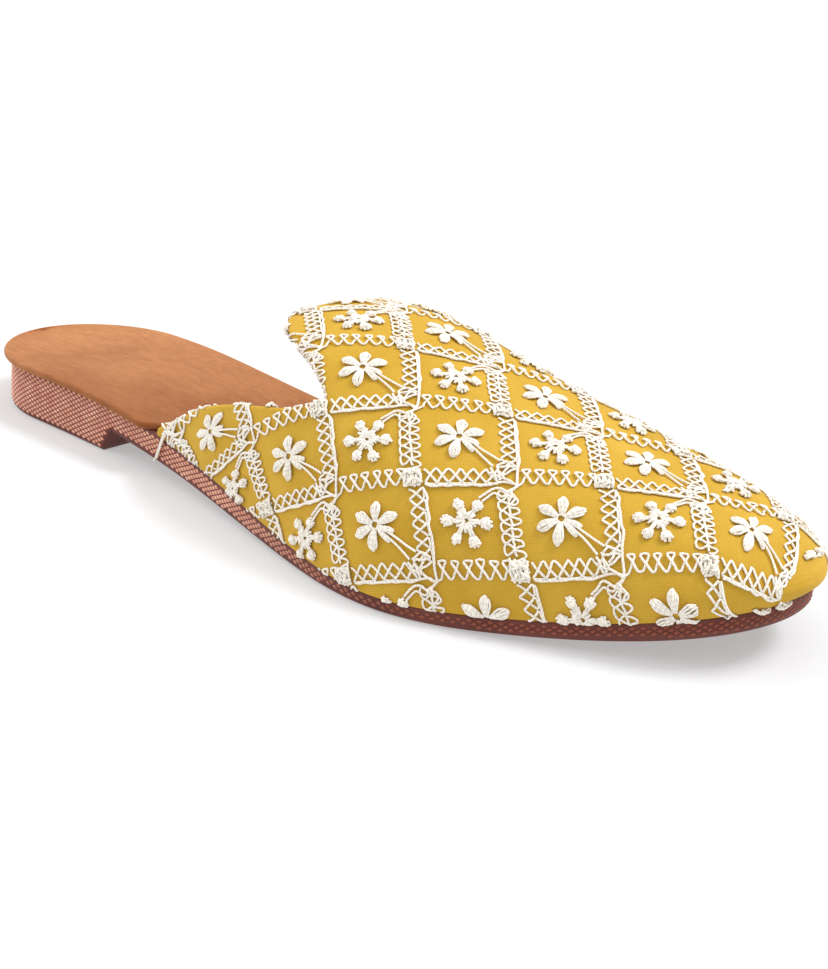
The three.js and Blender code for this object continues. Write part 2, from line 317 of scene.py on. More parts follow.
class Finish:
    """One material: add() makes a node, and pattern helpers chain the usual ones."""

    def __init__(self, name, **sockets):
        self.material = bpy.data.materials.new(name)
        self.material.use_nodes = True
        self.tree = self.material.node_tree
        self.shader = self.tree.nodes["Principled BSDF"]
        for key, value in sockets.items():
            self.shader.inputs[key.replace("_", " ")].default_value = value

    def add(self, kind, inputs=None, **props):
        made = self.tree.nodes.new("ShaderNode" + kind)
        for key, value in props.items():
            setattr(made, key, value)
        for key, value in (inputs or {}).items():
            if isinstance(value, bpy.types.NodeSocket):
                self.tree.links.new(value, made.inputs[key])
            else:
                made.inputs[key].default_value = value
        return made

    def coordinates(self, kind="Object"):
        return self.add("TexCoord").outputs[kind]

    def stretched(self, kind, scale):
        return self.add("Mapping", {"Vector": self.coordinates(kind), "Scale": scale}).outputs[0]

    def noise(self, per_metre, detail=3.0, roughness=0.5, where=None):
        where = where or self.coordinates()
        sockets = {"Vector": where, "Scale": per_metre, "Detail": detail, "Roughness": roughness}
        return self.add("TexNoise", sockets).outputs["Fac"]

    def along_shoe(self, start, end):
        """0 to 1 between two places along the shoe, in metres ahead of its middle."""
        x = self.add("SeparateXYZ", {0: self.coordinates()}).outputs["X"]
        return self.add("MapRange", {"Value": x, "From Min": start, "From Max": end}).outputs[0]

    def weave(self, how, **sockets):
        """Warp and weft: two wave patterns across each other, joined by a maths operation."""
        sockets["Vector"] = self.coordinates("UV")
        warp, weft = (self.add("TexWave", sockets, bands_direction=way).outputs["Fac"] for way in "XY")
        return self.add("Math", {0: warp, 1: weft}, operation=how).outputs[0]

    def ramp(self, fac, *stops):
        """Colours along a value: each stop is a position and the three numbers of srgb()."""
        made = self.add("ValToRGB", {"Fac": fac})
        set_bands(made.color_ramp, [(position, srgb(*colour)) for position, *colour in stops])
        return made.outputs["Color"]

    def blend(self, fac, a, b, how="MIX"):
        return self.add("Mix", {0: fac, 6: a, 7: b}, data_type="RGBA", blend_type=how).outputs[2]

    def colour(self, socket):
        self.tree.links.new(socket, self.shader.inputs["Base Color"])

    def bump(self, height, strength, distance_mm):
        sockets = {"Height": height, "Strength": strength, "Distance": distance_mm * MM}
        self.tree.links.new(self.add("Bump", sockets).outputs["Normal"], self.shader.inputs["Normal"])


# %% [markdown]
# ## The sole
# The sole is one piece of moulded rubber: a thin forefoot, an arch, and a low heel in one with it. It
# could be a curve given a bevel, but its underside rises and falls, so it is built as a row of closed
# rings across the shoe, each ring going down one wall, across underneath, and up the other.

# %% Sole body
RUBBER = Finish("moulded_rubber", Roughness=0.52, Specular_IOR_Level=0.35)
blotch = RUBBER.noise(90, 4)
RUBBER.colour(RUBBER.ramp(blotch, (0.3, 92, 42, 34), (0.7, 112, 56, 46)))
RUBBER.bump(RUBBER.noise(2600), 0.25, 0.12)


def slab_rings(turns, profile, across, dish):
    """Rings across the shoe. profile(x, side) gives out and height up a wall, as arrays with a row for each
    station. A parabola as deep as dish bridges the top, and a straight line the underside."""
    x = loop_x(turns)

    def wall(turn, side):
        out, height = profile(x, side)
        return np.concatenate([offset_edge(turn[:, None] + 0 * out, out), height[..., None]], -1)

    near, far = wall(turns, OUTER), wall(2 * np.pi - turns, INNER)
    share = across[None, :, None]
    top = near[:, -1:] * (1 - share) + far[:, -1:] * share
    top[..., 2] -= dish * 4 * across * (1 - across)
    under = near[:, :1] * (1 - share) + far[:, :1] * share
    return np.concatenate([near, top, far[:, ::-1], under[:, ::-1]], 1)


SOLE_STATIONS = 260
EDGE_RADIUS = 1.2
SHOULDER_IN, SHOULDER_DOWN = 0.25, 0.3  # the wall's soft top corner


def sole_profile(x, side):
    """Alike on both sides: a rounded lower edge, the wall, and a small soft shoulder at the top."""
    turn = np.linspace(0, np.pi / 2, 5)
    foot, top = underside(x)[:, None], top_edge(x)[:, None]
    out = np.append(-EDGE_RADIUS * (1 - np.sin(turn)), [0, 0, -SHOULDER_IN]) + 0 * foot
    low_edge = foot + EDGE_RADIUS * (1 - np.cos(turn))
    return out, np.concatenate([low_edge, foot * 0.5 + top * 0.5, top - SHOULDER_DOWN, top], 1)


def with_extra(turns, places):
    """Stations with a few more, where the form changes sharply."""
    extra = np.arccos(1 - 2 * np.array(places) / LENGTH)
    return np.unique(np.concatenate([turns, extra]))


sole_turns = with_extra(np.linspace(0, np.pi, SOLE_STATIONS), [HEEL_BREAST, HEEL_BREAST + BREAST_SLOPE])
rings = slab_rings(sole_turns, sole_profile, np.linspace(0.06, 0.94, 9), dish=0)
sole = make_piece("sole_body", rings, grid_faces(rings, wrap=True), [RUBBER], weld=True)
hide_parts("outsole")

# %% [markdown]
# ### Knurling
# The sole's wall is moulded with small raised diamonds, so that it looks like rough cloth. Bump alone
# would go flat at the outline, and a finely modelled wall would cost far more faces, so each diamond is a
# low pyramid, and all of them are placed as one array along the wall's length.

# %% Knurled wall
KNURL_LONG, KNURL_TALL, KNURL_HEIGHT = 2.4, 1.45, 0.4
KNURL_ROWS, FIRST_ROW, SUNK = 22, 0.45, 0.03  # rows, mm down to the first, mm that a base sinks in

KNURL = Finish("knurled_rubber", Roughness=0.45, Specular_IOR_Level=0.35)
tip = KNURL.add("Attribute", attribute_name="tip").outputs["Fac"]
mottle = KNURL.noise(300)
# Painted light: the wall is painted lighter at the heel and darker towards the front, by how the light falls
# on it.
front_shade_share = KNURL.along_shoe(-0.01, 0.05)
groove_shade_tone = KNURL.blend(front_shade_share, srgb(120, 50, 38), srgb(88, 38, 28))
heel_tip_highlight = KNURL.ramp(mottle, (0.35, 228, 156, 128), (0.65, 250, 190, 160))
tip_highlight_tone = KNURL.blend(front_shade_share, heel_tip_highlight, srgb(142, 74, 54))
# Painted highlight on each diamond's top, and painted shade in the grooves between the diamonds.
tip_highlight_mask = KNURL.ramp(tip, (0.12, 0, 0, 0), (0.5, 255, 255, 255))
KNURL.colour(KNURL.blend(tip_highlight_mask, groove_shade_tone, tip_highlight_tone))

loop = np.linspace(0, 2 * np.pi, 4001)
run = run_lengths(edge_point(loop))
columns = int(run[-1] / KNURL_LONG)
pitch, row_step = run[-1] / columns, KNURL_TALL / 2
i, j = np.meshgrid(np.arange(columns), np.arange(KNURL_ROWS), indexing="ij")
along = ((i + 0.5 * (j % 2)) * pitch).ravel()
down = (FIRST_ROW + (j + 1) * row_step).ravel()
near = along + pitch * np.array([[-0.3], [0], [0.3]])
near_x = loop_x(np.interp(near % run[-1], run, loop))
lowest = underside(near_x).max(0) + 0.55 * EDGE_RADIUS
fits = top_edge(near_x[1]) - down - row_step > lowest
along, down = along[fits], down[fits]
corner_along = along[:, None] + pitch / 2 * np.array([1, 0, -1, 0, 0])
corner_turn = np.interp(corner_along % run[-1], run, loop)
corner_down = down[:, None] + row_step * np.array([0, 1, 0, -1, 0])
plan = offset_edge(corner_turn, np.array([-SUNK] * 4 + [KNURL_HEIGHT]) + 0 * corner_turn)
studs = np.concatenate([plan, (top_edge(loop_x(corner_turn)) - corner_down)[..., None]], -1)
base = np.arange(len(studs))[:, None, None] * 5
sides = base + np.array([[0, 3, 4], [3, 2, 4], [2, 1, 4], [1, 0, 4]])
faces = [sides.reshape(-1, 3), base[:, 0] + np.array([0, 1, 2, 3])]
knurl = make_piece("sole_knurling", studs, faces, [KNURL], smooth=False)
# Each diamond's apex is weighted 1 and its base corners 0; the knurl finish paints its highlight on the tops
# by this weight.
tip_highlight_weight = knurl.data.attributes.new("tip", "FLOAT", "POINT")
tip_highlight_weight.data.foreach_set("value", np.tile([0, 0, 0, 0, 1.0], len(studs)).astype(np.float32))
print(len(studs), "diamonds")

# %% [markdown]
# ## The insole
# The insole is a thin foam board wrapped in suede. Round the open heel it laps over the sole with a soft
# rolled edge; in front of the wings it runs inside the upper. It is built like the sole, from rings, but
# with a half-round edge and a top that dishes where a foot has pressed it.

# %% Insole
INSOLE_THICKNESS, INSOLE_EDGE_RADIUS, INSOLE_DISH = 2.0, 1.0, 0.9
INSOLE_LAP, INSOLE_CLEAR = 2.5, 0.5
STEP_LENGTH, STEP_END = 6.0, {OUTER: 84.5, INNER: 97.5}  # where it steps in to go inside the upper
SEAT = 0.05  # how closely one glued piece lies on the next


def rib_head(x):
    """Where the rib that starts at x meets the ridge, in plan: the front ribs fan towards one pole."""
    fan = np.clip((x - FAN_START) / (LENGTH - FAN_START), 0, 1)
    head = x - (LENGTH - TOE_POLE) * fan**2
    return head, ridge_line(head)


def rib_reach(x, angle, run):
    """Share of a rib's run at an angle up it: a power of the cosine, and a low bulge."""
    t = np.clip(angle / BULGE_TOP, 0, 1)
    level = np.maximum(0, np.cos(np.radians(angle))) ** plan_power(x)
    return level + bulge(x) * 6.75 * t * (1 - t) ** 2 / run


def wall_lean(x, rise):
    """How far the upper's wall has come in at a height above the sole's edge: the rib's formulas, undone."""
    share = rise / (ridge_height(x) - top_edge(x))
    angle = np.degrees(np.arcsin(share ** (1 / rise_power(x))))
    head = rib_head(x)
    run = np.hypot(x - head[0], edge_y(x, INNER) - head[1])
    return np.maximum(0, run * (1 - rib_reach(x, angle, run)))


def insole_profile(x, side):
    """A half-round edge, lapping the sole at the heel and drawn in to clear the upper further forward."""
    share = np.clip((x - STEP_END[side]) / STEP_LENGTH + 1, 0, 1)
    lean = wall_lean(np.maximum(x, STEP_END[OUTER] - STEP_LENGTH), INSOLE_THICKNESS)
    inside = -(WALL + INSOLE_CLEAR + (share > 0) * lean)
    edge = INSOLE_LAP + (inside - INSOLE_LAP) * share**2 * (3 - 2 * share)
    turn = np.linspace(-90, 90, 13)
    out = edge[:, None] - INSOLE_EDGE_RADIUS * (1 - np.cos(np.radians(turn)))
    middle = top_edge(x) + SEAT + INSOLE_THICKNESS / 2
    return out, middle[:, None] + INSOLE_THICKNESS / 2 * np.sin(np.radians(turn))


SUEDE = Finish("suede", Roughness=0.95, Specular_IOR_Level=0.12, Sheen_Weight=0.35, Sheen_Roughness=0.45,
               Sheen_Tint=srgb(255, 214, 170))
patches = SUEDE.noise(16, 3, 0.55)
brushed = SUEDE.noise(420, 4, 0.7, SUEDE.stretched("Object", (0.5, 1.3, 1)))
tone = SUEDE.ramp(patches, (0.35, 165, 101, 61), (0.5, 186, 122, 78), (0.65, 198, 134, 87))
nap_tone = SUEDE.ramp(brushed, (0.3, 205, 205, 205), (0.7, 255, 255, 255))
# Painted shade: the insole is multiplied darker towards the front, where the tongue and upper shade it.
throat_shade_tone = SUEDE.blend(1.0, tone, srgb(226, 216, 209), "MULTIPLY")
tone = SUEDE.blend(SUEDE.along_shoe(-0.10, -0.03), tone, throat_shade_tone)
SUEDE.colour(SUEDE.blend(0.75, tone, nap_tone, "MULTIPLY"))
SUEDE.bump(SUEDE.noise(3500, 2, 0.7), 0.5, 0.25)

steps = np.concatenate([np.linspace(end - STEP_LENGTH, end, 9) for end in STEP_END.values()])
insole_turns = with_extra(np.linspace(0, np.pi, 280), steps)
rings = slab_rings(insole_turns, insole_profile, np.linspace(0.03, 0.97, 33), INSOLE_DISH)
insole = make_piece("insole_suede_pad", rings, grid_faces(rings, wrap=True), [SUEDE], weld=True)
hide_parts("insole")

# %% [markdown]
# ## The upper
# A cobbler cuts the upper flat, sews it to a lining, turns the top edge, and pulls it down over the last.
# Here the lasted form is a function of two numbers: where a rib starts along the sole, and how far round
# it lies, from 0 at the outer side, over 90 on the ridge, to 180 at the inner side. Cloth, lining and
# every stitch ask the same function, so nothing has to be fitted to anything else.

# %% Surface of the last
def upper_point(x, round_angle):
    """A point of the upper's outer face: along the rib's run by its reach, and up by a power of the sine."""
    angle = np.minimum(round_angle, 180 - round_angle)
    foot = top_edge(x) + SEAT
    head_x, head_y = rib_head(x)
    run_x, run_y = x - head_x, edge_y(x, np.where(round_angle <= 90, OUTER, INNER)) - head_y
    reach = np.maximum(0, rib_reach(x, angle, np.hypot(run_x, run_y)))
    across_x = head_x + run_x * reach
    rise = np.maximum(0, np.sin(np.radians(angle))) ** rise_power(x)
    return np.stack([across_x, head_y + run_y * reach, foot + (ridge_height(across_x) - foot) * rise], -1)


def surface_normal(x, round_angle):
    """Unit normals: the cross product of one small step along the shoe and one round the rib."""
    front, later = np.minimum(x + 0.05, LENGTH), np.minimum(round_angle + 0.05, 180)
    along = upper_point(front, round_angle) - upper_point(front - 0.1, round_angle)
    around = upper_point(x, later) - upper_point(x, np.maximum(later - 0.1, 0))
    return unit(np.cross(along, around))


# %% [markdown]
# ### Cloth coordinates
# The embroidery was worked on flat cloth and then pulled over the last, so it needs coordinates of its
# own: how far along the ridge a place lies, and how far round from the ridge, both as lengths. They are
# measured once on a table of cross-sections, which any stitch can look itself up in.

# %% Sections of the cloth
def look_up(table, row, column):
    """A table's value between its rows and columns, weighted by nearness to the four round it."""
    row = np.clip(row, 0, table.shape[0] - 1.001)
    column = np.clip(column, 0, table.shape[1] - 1.001)
    i, j = row.astype(int), column.astype(int)
    a, b = row - i, column - j
    if table.ndim == 3:
        a, b = a[..., None], b[..., None]
    near = table[i, j] * (1 - b) + table[i, j + 1] * b
    far = table[i + 1, j] * (1 - b) + table[i + 1, j + 1] * b
    return near * (1 - a) + far * a


FIRST_RIB = 78.0  # further back than any section's rib starts
FIRST_SECTION, LAST_SECTION, SECTIONS = 82.0, LENGTH - 0.4, 300
GIRTH_STEPS, GIRTH = 161, 82.0
CREST = 140.0  # where the ridge is highest, and lengths along it count from
section_x = np.linspace(FIRST_SECTION, LAST_SECTION, SECTIONS)
fine_angle = np.linspace(0, 90, 2001)
toe_rib_x = upper_point(LENGTH + 0 * fine_angle, fine_angle)[:, 0]
highest = np.where(section_x <= TOE_POLE, 90, np.interp(-section_x, -toe_rib_x, fine_angle))
down_share = np.linspace(0, 1, GIRTH_STEPS)
girth_line = np.linspace(0, GIRTH, 2 * GIRTH_STEPS)


def sections(side):
    """Lengths round each section from the ridge down one side, then rib and angle at even lengths.
    A rib's start is moved by what its point misses the section's x by, until it lies on it."""
    angle = highest[:, None] * (1 - down_share)
    turn = angle if side == OUTER else 180 - angle
    start = section_x[:, None] + 0 * angle
    for _ in range(40):
        start = np.clip(start + section_x[:, None] - upper_point(start, turn)[..., 0], FIRST_RIB, LENGTH)
    girth = run_lengths(upper_point(start, turn), 1)
    even = [[np.interp(girth_line, *row) for row in zip(girth, values)] for values in (start, turn)]
    return girth, *np.array(even)


outer_girth, *outer_even = sections(OUTER)
inner_girth, *inner_even = sections(INNER)
cloth_start, cloth_turn = (np.concatenate([a[:, :0:-1], b], 1) for a, b in zip(outer_even, inner_even))
cloth_table = np.concatenate([
    upper_point(cloth_start, cloth_turn),
    surface_normal(cloth_start, cloth_turn),
    (cloth_start - topline_x(cloth_turn))[..., None],
], -1)
ridge_run = run_lengths(cloth_table[:, girth_line.size - 1, :3])
ridge_run -= np.interp(CREST, section_x, ridge_run)
print("cloth along the ridge, mm:", np.round(ridge_run[[0, -1]], 1))
print("widest half girth, mm:", round(outer_girth.max(), 1))


def cloth_place(p, q):
    """Position, normal and inside-ness of a place p along the ridge and q round from it, in mm."""
    every = np.arange(SECTIONS)
    row = np.interp(p, ridge_run, every)
    found = look_up(cloth_table, row, (q / GIRTH + 1) * (girth_line.size - 1))
    outer_edge, inner_edge = (np.interp(row, every, girth[:, -1]) for girth in (outer_girth, inner_girth))
    edge = np.where(q < 0, outer_edge, inner_edge)
    over = np.maximum(np.abs(q) - edge, p - ridge_run[-1])
    return found[..., :3], unit(found[..., 3:6]), found[..., 6], over


def cloth_coordinates(points, round_angle):
    """The same p and q for points of the skin, from their x and how far down the rib they lie."""
    row = (points[..., 0] - FIRST_SECTION) / (LAST_SECTION - FIRST_SECTION) * (SECTIONS - 1)
    row = np.clip(row, 0, SECTIONS - 1)
    angle = np.minimum(round_angle, 180 - round_angle) + 0 * row
    down = 1 - angle / np.interp(row, np.arange(SECTIONS), highest)
    column = np.clip(down, 0, 1) * (GIRTH_STEPS - 1)
    q = np.where(round_angle <= 90, -look_up(outer_girth, row, column), look_up(inner_girth, row, column))
    return np.interp(row, np.arange(SECTIONS), ridge_run), q


# %% [markdown]
# ### The lattice on the cloth
# The pattern's squares were set out slantwise on the cloth. Pulling it over the last bent their rows a
# little, most of all where the cloth turns down at the sides. The bend takes four numbers, so that a
# place in the pattern, as column and row of squares, gives a place on the cloth.

# %% Lattice
SQUARE = 21.8  # mm of cloth along each side of a square
ROW_ANGLE, COLUMN_ANGLE = 34.5, -45.0  # how rows and columns slant from the ridge, in degrees
CORNER, CORNER_PLACE = np.array([3, 2]), np.array([28.0, -32.0])  # one corner of a square, and where it lies
FAR_ROUND, BOWED = 40.0, 3.0  # so far round from the ridge, lasting draws a row so much back
FAR_ALONG, DRAWN_BACK, RAISED, FLARED = 50.0, 1.2, 0.8, 0.035  # so far along it: mm, mm and a share
slants = np.radians([ROW_ANGLE, COLUMN_ANGLE])
LATTICE = SQUARE * np.stack([np.cos(slants), np.sin(slants)], -1)  # one square along a row, one down a column


def pulled(flat_p, flat_q):
    """Where lasting takes a place of the flat lattice: rows bow back by the square of the way round and of
    the way along, and towards the toe the cloth is drawn wider and a little to the inner side."""
    along, down = flat_p / FAR_ALONG, flat_q / FAR_ROUND
    return flat_p - BOWED * down**2 - DRAWN_BACK * along**2, flat_q * (1 + FLARED * along) + RAISED * along


def lattice_to_cloth(c, r):
    flat = CORNER_PLACE + (np.stack([c, r], -1) - CORNER) @ LATTICE
    return pulled(flat[..., 0], flat[..., 1])


def cloth_to_lattice(p, q):
    """The inverse, by taking away what the pull adds a few times over."""
    flat_p, flat_q = p, q
    for _ in range(12):
        there_p, there_q = pulled(flat_p, flat_q)
        flat_p, flat_q = flat_p + p - there_p, flat_q + q - there_q
    return (np.stack([flat_p, flat_q], -1) - CORNER_PLACE) @ np.linalg.inv(LATTICE) + CORNER


# %% [markdown]
# ### Cloth, rolled edge and lining
# The upper is one closed shell: the cloth outside, a rolled edge where it is turned over, a few
# millimetres of turned-in cloth, and a beige lining. Solidify could give the wall its thickness, but it
# would not know which part is lining, so each ring is laid out in full, outside and then back inside.

# %% Shell of the upper
ROWS, COLUMNS = 201, 130
TURNED_IN = 7.0  # mm of cloth folded to the inside
row_share = np.linspace(0, 1, ROWS)
half = 90 * (1 - np.cos(np.pi * np.minimum(2 * row_share, 2 - 2 * row_share))) / 2
row_turn = np.where(row_share <= 0.5, half, 180 - half)[:, None]
row_start = topline_x(row_turn)
column_share = np.sin(np.pi / 2 * np.linspace(0, 1, COLUMNS))
rib_x = row_start + (LENGTH - row_start) * column_share
skin = upper_point(rib_x, row_turn)
skin_normal = surface_normal(rib_x, row_turn + 0 * rib_x)
skin_normal[:, -1] = unit(skin_normal[:, -1] + skin_normal[::-1, -1])
lining = skin - WALL * skin_normal
lining[..., 2] = np.maximum(lining[..., 2], top_edge(np.clip(lining[..., 0], 0, LENGTH)) + SEAT)

edge_along = unit(np.gradient(skin[:, 0], axis=0))
edge_out = unit(np.cross(edge_along, skin_normal[:, 0]))
edge_out *= np.sign(np.sum(edge_out * (skin[:, 0] - skin[:, 1]), -1, keepdims=True))
roll = np.radians(np.arange(15, 180, 15))[None, :, None]
edge_middle = skin[:, None, 0] - WALL / 2 * skin_normal[:, None, 0]
rim = edge_middle + WALL / 2 * (np.cos(roll) * skin_normal[:, None, 0] + np.sin(roll) * edge_out[:, None])
shell = np.concatenate([skin[:, ::-1], rim, lining], 1)

skin_p, skin_q = cloth_coordinates(skin, row_turn)
skin_uv = cloth_to_lattice(skin_p, skin_q) * SQUARE
edge_step = (skin_uv[:, :1] - skin_uv[:, 1:2]) * 0.05
edge_uv = skin_uv[:, :1] + edge_step * np.arange(1, rim.shape[1] + 1)[None, :, None]
shell_uv = np.concatenate([skin_uv[:, ::-1], edge_uv, skin_uv], 1)
print("cloth squares span", np.round(skin_uv.reshape(-1, 2).min(0) / SQUARE, 1), "to",
      np.round(skin_uv.reshape(-1, 2).max(0) / SQUARE, 1))

CLOTH = Finish("mustard_cloth", Roughness=0.82, Specular_IOR_Level=0.25,
               Sheen_Weight=0.25, Sheen_Roughness=0.4, Sheen_Tint=srgb(255, 226, 140))
weave = CLOTH.weave("MULTIPLY", Scale=0.8, Distortion=0.6, Detail=1)
dye = CLOTH.noise(60, 4, 0.6)
base_tone = CLOTH.ramp(dye, (0.3, 208, 163, 46), (0.7, 222, 178, 62))
thread_tone = CLOTH.ramp(weave, (0.0, 205, 205, 205), (0.6, 255, 255, 255))
CLOTH.colour(CLOTH.blend(0.6, base_tone, thread_tone, "MULTIPLY"))
CLOTH.bump(weave, 0.35, 0.12)

LINING = Finish("beige_lining", Roughness=0.9, Specular_IOR_Level=0.2, Sheen_Weight=0.15)
weave = LINING.weave("MAXIMUM", Scale=0.6, Distortion=0.4)
LINING.colour(LINING.ramp(weave, (0.2, 196, 172, 136), (0.8, 224, 204, 172)))
LINING.bump(weave, 0.3, 0.12)

inside_from = COLUMNS + rim.shape[1]
fold = np.linalg.norm(lining - lining[:, :1], axis=-1)
is_lining = np.zeros(shell.shape[:2])
is_lining[:, inside_from:] = fold > TURNED_IN

# The feather edge, under each side, closes the shell from cloth to lining.
across = np.arange(COLUMNS)
foot_pair = np.stack([across, 2 * COLUMNS + rim.shape[1] - 1 - across], -1)
outer_foot = np.concatenate([foot_pair[:-1], foot_pair[1:, ::-1]], -1)
outer_rim = np.arange(COLUMNS - 1, inside_from + 1)[None]
last_row = (ROWS - 1) * shell.shape[1]
faces = grid_faces(shell) + [outer_foot, outer_foot[:, ::-1] + last_row]
faces += [outer_rim, outer_rim[:, ::-1] + last_row]
face_material = np.concatenate([is_lining[:-1, 1:].ravel(), np.zeros(sum(len(f) for f in faces[1:]))])
upper = make_piece("upper_shell", shell, faces, [CLOTH, LINING], shell_uv, face_material, weld=True)
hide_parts("upper")

# %% [markdown]
# ### Laying thread
# Every stitch is a short path in the pattern's own terms: column, row, and height over the cloth. One
# function puts whole arrays of paths on the shoe and sweeps each as a tube. Curve objects with a bevel
# would do the same, but thousands of them are slow, and they would not follow the cloth's own tilt. Where
# a path runs past the topline it goes over the rolled edge, and where it runs under the sole it is cut.

# %% Thread helpers
THREAD_SIDES, THREAD_WIDTH, THREAD_DEPTH = 6, 0.6, 0.5
SEAM_CUT, SEAM_SINK = 0.9, 1.2  # mm past the sole's edge where a thread is cut, and how deep it may sink
ROLL_CUT, ROLL_MOST = 3.1, 2.9  # mm past the topline where it is cut, and radians that it may turn by
random = np.random.default_rng(11)


def along_edge(values):
    """Values at the shell's rows, at many more places between them."""
    fine = np.linspace(0, ROWS - 1, 2400)
    return np.stack([np.interp(fine, np.arange(ROWS), column) for column in values.T], -1)


edge_place, edge_normal = along_edge(skin[:, 0]), unit(along_edge(skin_normal[:, 0]))
edge_away = unit(along_edge(edge_out))


def smooth_path(controls, per=3):
    """Quadratic B-splines: each control point bends an arc from the middle of the leg before it to the
    middle of the leg after it, and the ends are held."""
    first, last = controls[..., :1, :], controls[..., -1:, :]
    middles = np.concatenate([first, (controls[..., 1:, :] + controls[..., :-1, :]) / 2, last], -2)
    t = (np.arange(per) / per)[:, None]
    a, b = middles[..., :-1, None, :], middles[..., 1:, None, :]
    arcs = (1 - t) ** 2 * a + 2 * t * (1 - t) * controls[..., None, :] + t**2 * b
    arcs = arcs.reshape(*controls.shape[:-2], -1, controls.shape[-1])
    return np.concatenate([arcs, last], -2)


def over_the_edges(place, normal, inside, over):
    """Past the topline a place turns round the rolled edge; past the sole it sinks into the seam."""
    kept = over < SEAM_CUT
    place = place - normal * np.clip(over, 0, SEAM_SINK)[..., None]
    past = (inside < 0) & kept
    gap = np.linalg.norm(place[past][:, None] - edge_place, axis=-1)
    nearest, far = gap.argmin(1), gap.min(1)
    turn = np.minimum(far / (WALL / 2), ROLL_MOST)[:, None]
    out, away = edge_normal[nearest], edge_away[nearest]
    normal[past] = out * np.cos(turn) + away * np.sin(turn)
    place[past] = edge_place[nearest] - out * WALL / 2 + normal[past] * WALL / 2
    kept[past] = far < ROLL_CUT
    return place, normal, kept


def thread_tubes(paths, width=THREAD_WIDTH, depth=THREAD_DEPTH, loose=False):
    """Points, faces and corner UVs of tubes along paths of shape strands x points x (column, row, mm up).
    Loose threads hang beside the outer wall, so their paths are places on the shoe, in mm."""
    if loose:
        centre, normal, kept = paths, 0 * paths + [0, OUTER, 0], np.ones(paths.shape[:2], bool)
    else:
        p, q = lattice_to_cloth(paths[..., 0], paths[..., 1])
        place, normal, kept = over_the_edges(*cloth_place(p, q))
        kept &= kept.sum(1, keepdims=True) > 3  # no specks where a strand is nearly all cut away
        centre = place + normal * paths[..., 2:3]
    along = unit(np.gradient(centre, axis=1) + 1e-9)
    side = unit(np.cross(along, normal))
    turn = 2 * np.pi * np.arange(THREAD_SIDES)[:, None] / THREAD_SIDES
    rings = centre[:, :, None] + side[:, :, None] * np.cos(turn) * width / 2
    rings = rings + np.cross(side, along)[:, :, None] * np.sin(turn) * depth / 2
    strands, steps = paths.shape[:2]
    first = (np.arange(strands * steps) * THREAD_SIDES).reshape(strands, steps)
    k = np.arange(THREAD_SIDES)
    whole = kept[:, :-1] & kept[:, 1:]
    start = first[:, :-1][whole]
    low, high = start[:, None] + k, start[:, None] + (k + 1) % THREAD_SIDES
    quads = np.stack([low, low + THREAD_SIDES, high + THREAD_SIDES, high], -1).reshape(-1, 4)
    before = np.pad(kept, ((0, 0), (1, 1)))
    begins, ends = kept & ~before[:, :-2] & before[:, 2:], kept & ~before[:, 2:] & before[:, :-2]
    caps = np.concatenate([first[begins][:, None] + k, first[ends][:, None] + k[::-1]])
    length = run_lengths(centre, 1)
    here, there = length[:, :-1][whole], length[:, 1:][whole]
    u = np.stack([here, there, there, here], -1)[:, None] + 0 * k[:, None]
    v = np.stack([k, k, k + 1, k + 1], -1)[None] / THREAD_SIDES + 0 * u
    return rings.reshape(-1, 3), quads, caps, np.stack([u, v], -1).reshape(-1, 2)


def sew(name, *families):
    """One mesh piece from families of paths, with points that no face uses left out."""
    points, quads, caps, uvs, base = [], [], [], [], 0
    for paths, size in families:
        rings, quad, cap, uv = thread_tubes(paths, **size)
        points.append(rings)
        quads.append(quad + base)
        caps.append(cap + base)
        uvs.append(uv)
        base += len(rings)
    points, quads, caps = np.concatenate(points), np.concatenate(quads), np.concatenate(caps)
    used, packed = np.unique(np.concatenate([quads.ravel(), caps.ravel()]), return_inverse=True)
    faces = [packed[:quads.size].reshape(-1, 4), packed[quads.size:].reshape(-1, THREAD_SIDES)]
    uv = np.concatenate([*uvs, np.zeros((caps.size, 2))])
    make_piece(name, points[used], faces, [THREAD], uv)


def stitches(cells, shapes, centre=None, wobble=0.006, per=2, **size):
    """The same shapes in every cell, smoothed. shapes are strands x points x 3: mm about a centre if there
    is one, or else parts of a square. Each point strays a little, as a hand's does."""
    shapes = np.asarray(shapes, float)
    if centre is not None:
        shapes = shapes * [1 / SQUARE, -1 / SQUARE, 1] + [*centre, 0]
    corners = np.pad(np.array(cells, float), ((0, 0), (0, 1)))[:, None, None]
    placed = (corners + shapes).reshape(-1, *shapes.shape[1:])
    placed = placed + random.normal(0, 1, placed.shape) * [wobble, wobble, 0.03]
    return smooth_path(placed, per), size


THREAD = Finish("cream_thread", Roughness=0.5, Specular_IOR_Level=0.3, Sheen_Weight=0.2, Sheen_Roughness=0.3)
waves = {"Vector": THREAD.stretched("UV", (1.1, 2.0, 1)), "Scale": 0.5, "Distortion": 0.3}
ply = THREAD.add("TexWave", waves, bands_direction="DIAGONAL").outputs["Fac"]
shade = THREAD.noise(110)
tone = THREAD.ramp(shade, (0.3, 246, 239, 226), (0.7, 254, 250, 241))
# Painted shade: the ply's grooves are darkened as shade between the strands; the bump gives them their
# relief.
groove = THREAD.ramp(ply, (0.0, 190, 178, 166), (0.35, 255, 255, 255))
THREAD.colour(THREAD.blend(0.45, tone, groove, "MULTIPLY"))
THREAD.bump(ply, 0.5, 0.12)

# Daisies and sprigs take turns, as the black and white squares of a chessboard do.
daisy_cells = [(c, r) for c in range(-4, 13) for r in range(-7, 9) if (c - r) % 2]
sprig_cells = [(c, r) for c in range(-4, 13) for r in range(-7, 9) if (c - r) % 2 == 0]


